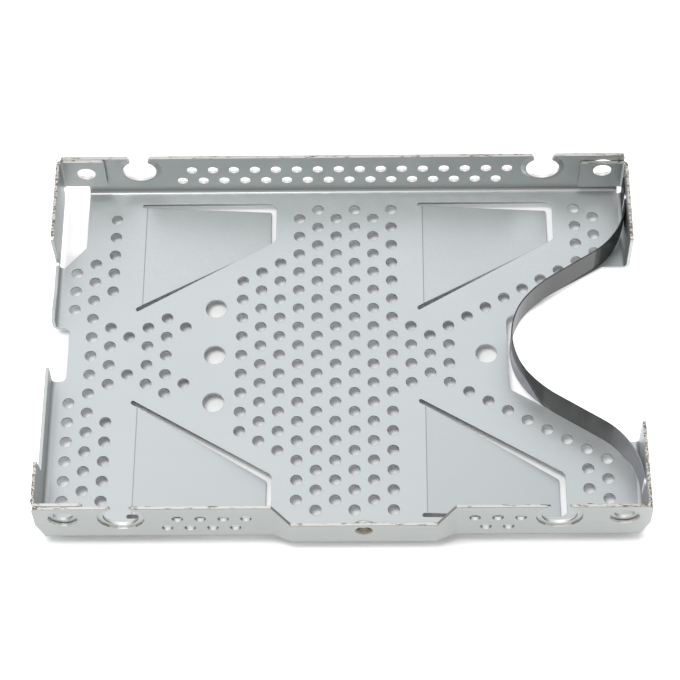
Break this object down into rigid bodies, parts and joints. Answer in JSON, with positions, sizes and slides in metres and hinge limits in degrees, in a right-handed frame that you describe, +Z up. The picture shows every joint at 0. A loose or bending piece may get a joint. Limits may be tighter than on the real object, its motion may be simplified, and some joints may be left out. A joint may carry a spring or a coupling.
{
  "type": "hard drive caddy",
  "caption": "Folded, perforated sheet steel caddy tray for a small hard drive, with leaf springs, screw notches in its long walls and a dark film pull strap",
  "frame": {"origin": "top face of the base, midway between the four notches that take the drive's side screws", "axes": "+X along the tray to the finger cut-out, +Y to the rear long wall, +Z up out of the tray"},
  "size_m": [0.1082, 0.0756, 0.0136],
  "materials": {
    "zinc_plated_steel": "satin",
    "dark_film": "gloss"
  },
  "bodies": {
    "root": {"tray": "zinc_plated_steel", "pull_strap": "dark_film"}
  },
  "joints": []
}
